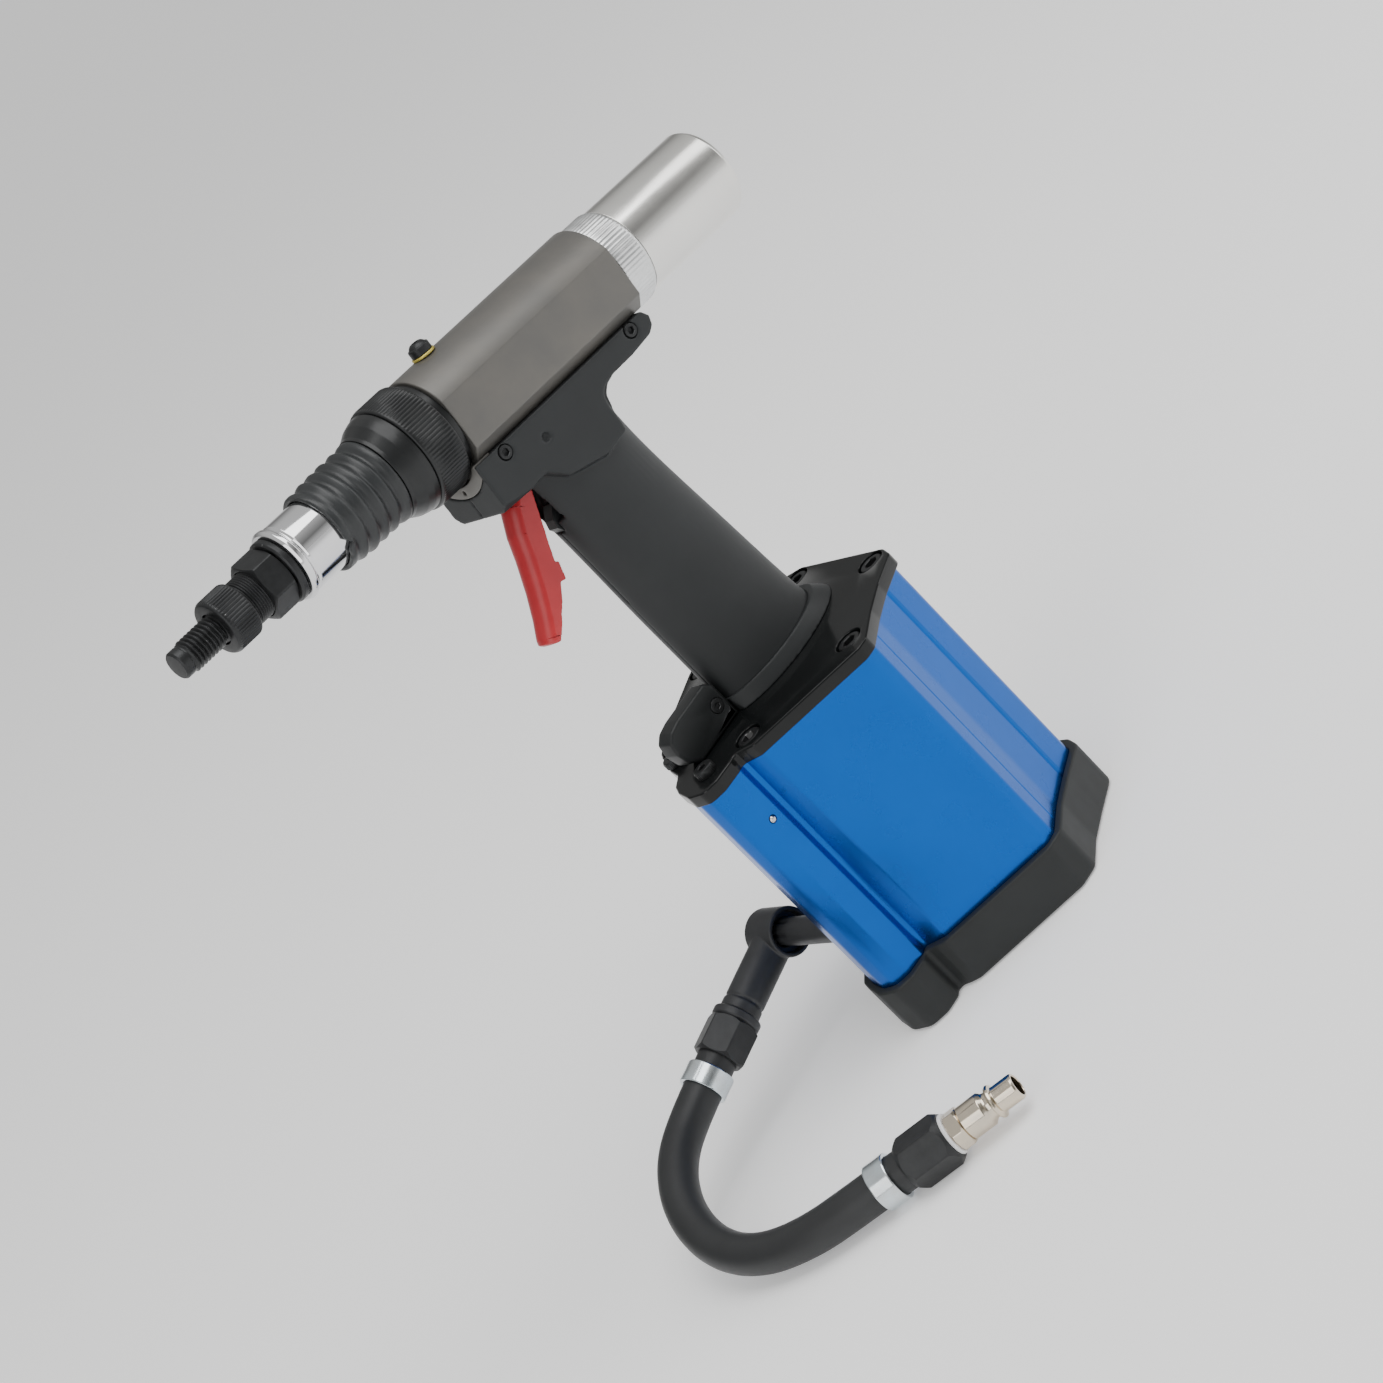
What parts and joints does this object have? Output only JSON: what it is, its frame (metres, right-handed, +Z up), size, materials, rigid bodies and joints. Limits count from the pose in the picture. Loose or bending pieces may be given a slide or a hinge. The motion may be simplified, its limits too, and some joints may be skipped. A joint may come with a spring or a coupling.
{
  "type": "pneumatic rivet nut gun",
  "caption": "Pistol-shaped pneumatic rivet-nut gun: threaded mandrel nose, alloy head, grip with trigger, finned air cylinder in a rubber boot, and a short air hose with a quick plug.",
  "frame": {"origin": "centre of the rubber boot's underside, on the axis of the air cylinder", "axes": "+X towards the nose, +Y to the gun's left side, +Z up along the air cylinder and grip"},
  "size_m": [0.3086, 0.1737, 0.3023],
  "materials": {
    "blue_anodised": "gloss blue anodised extrusion",
    "gloss_black": "high gloss black paint",
    "black_oxide": "black oxide steel",
    "boot_rubber": "semi-matte charcoal rubber",
    "cast_alloy": "machined aluminium",
    "bright_steel": "ground steel",
    "seal_rubber": "black seal rubber",
    "grey_anodised": "satin dark grey anodised",
    "black_anodised": "black anodised",
    "bellows_rubber": "black moulded rubber",
    "chrome_plate": "bright chrome plate",
    "polished_aluminium": "polished turned aluminium",
    "turned_aluminium": "knurled bright aluminium",
    "grip_plastic": "matte charcoal moulded grip",
    "trigger_red": "satin red plastic",
    "valve_black": "matte black moulding",
    "inlet_black": "matte black nylon",
    "fitting_black": "worn black zinc",
    "hose_rubber": "black hose rubber",
    "zinc_clamp": "bright crimp ring",
    "white_seal": "white sealing ring",
    "nickel_plate": "warm nickel plate",
    "brass_washer": "yellow washer"
  },
  "bodies": {
    "housing": {"cylinder_shell": "blue_anodised", "top_plate": "gloss_black", "plate_screws": "black_oxide", "base_cover": "cast_alloy", "tie_bolts": "bright_steel", "base_boot": "boot_rubber", "lobe_ball_plug": "bright_steel", "ram_gland": "cast_alloy", "piston_spring": "bright_steel", "oil_tube": "bright_steel", "head_housing": "grey_anodised", "front_gland": "cast_alloy", "return_spring": "bright_steel", "spring_seat": "cast_alloy", "cone_adapter": "black_anodised", "bellows_boot": "bellows_rubber", "chrome_sleeve": "chrome_plate", "sleeve_flange": "chrome_plate", "nose_shoulder": "black_oxide", "motor_cylinder": "cast_alloy", "motor_end_plates": "cast_alloy", "serrated_ring": "turned_aluminium", "rear_tube": "polished_aluminium", "oil_plug": "black_oxide", "plug_washer": "brass_washer", "grip_shell_left": "grip_plastic", "grip_shell_right": "grip_plastic", "yoke_screws": "black_oxide", "trigger_pin": "bright_steel", "trigger_stop": "valve_black", "valve_cartridge": "cast_alloy", "trigger_spring": "bright_steel", "grip_collar": "grip_plastic", "valve_block": "valve_black", "valve_screw": "black_oxide", "inlet_stem": "inlet_black"},
    "stroke_collar": {"knurled_collar": "black_anodised"},
    "lock_nut": {"hex_lock_nut": "black_oxide"},
    "nosepiece": {"knurled_nosepiece": "black_oxide"},
    "draw_piston": {"head_piston": "bright_steel", "piston_ring": "seal_rubber"},
    "mandrel": {"threaded_mandrel": "black_oxide"},
    "motor": {"motor_rotor": "bright_steel", "motor_vanes": "valve_black", "drive_shaft": "bright_steel"},
    "pneumatic_piston": {"air_piston": "cast_alloy", "piston_seal": "seal_rubber", "hydraulic_ram": "bright_steel", "ram_nut": "bright_steel"},
    "trigger_lever": {"trigger": "trigger_red"},
    "valve_pushrod": {"valve_rod": "bright_steel"},
    "inlet_swivel": {"swivel_elbow": "inlet_black", "swivel_collar": "inlet_black", "inlet_coupling": "fitting_black", "hose_clamps": "zinc_clamp", "air_hose": "hose_rubber", "end_coupling": "fitting_black", "seal_washer": "white_seal", "quick_plug": "nickel_plate"}
  },
  "joints": [
    {"name": "trigger_pull", "type": "hinge", "parent": "housing", "child": "trigger_lever", "pos_m": [0.0126, 0, 0.2476], "axis": [0, 1, 0], "range_deg": [0, 8], "stiffness_Nm_per_rad": 0.6, "springref_deg": -14.32},
    {"name": "valve_push", "type": "slide", "parent": "housing", "child": "valve_pushrod", "axis": [0, 0, -1], "range_m": [0, 0.0011], "deforming": ["trigger_spring"]},
    {"name": "air_piston_lift", "type": "slide", "parent": "housing", "child": "pneumatic_piston", "axis": [0, 0, 1], "range_m": [0, 0.041], "stiffness_N_per_m": 300, "springref_m": -0.02, "deforming": ["piston_spring"]},
    {"name": "mandrel_pull", "type": "slide", "parent": "housing", "child": "draw_piston", "axis": [-0.9904, 0, -0.1385], "range_m": [0, 0.007]},
    {"name": "motor_spin", "type": "hinge", "parent": "housing", "child": "motor", "pos_m": [-0.09309, 0, 0.25908], "axis": [0.9904, 0, 0.1385], "continuous": true},
    {"name": "mandrel_spin", "type": "hinge", "parent": "draw_piston", "child": "mandrel", "pos_m": [0.11884, 0, 0.28872], "axis": [0.9904, 0, 0.1385], "continuous": true},
    {"name": "stroke_collar_turn", "type": "hinge", "parent": "housing", "child": "stroke_collar", "pos_m": [0.04457, 0, 0.27833], "axis": [0.9904, 0, 0.1385], "range_deg": [-180, 180]},
    {"name": "lock_nut_turn", "type": "hinge", "parent": "housing", "child": "lock_nut", "pos_m": [0.11746, 0, 0.28852], "axis": [0.9904, 0, 0.1385], "range_deg": [-180, 180]},
    {"name": "nosepiece_turn", "type": "hinge", "parent": "housing", "child": "nosepiece", "pos_m": [0.13568, 0, 0.29107], "axis": [0.9904, 0, 0.1385], "range_deg": [-180, 180]},
    {"name": "inlet_swing", "type": "hinge", "parent": "housing", "child": "inlet_swivel", "pos_m": [0.0583, -0.04, 0.0423], "axis": [0, 1, 0], "range_deg": [-60, 0]}
  ],
  "couplings": [
    {"joint": "valve_push", "follows": "trigger_pull", "m_per_rad": 0.0075},
    {"joint": "mandrel_pull", "follows": "air_piston_lift", "ratio": 0.1707},
    {"joint": "mandrel_spin", "follows": "motor_spin", "ratio": 1}
  ]
}
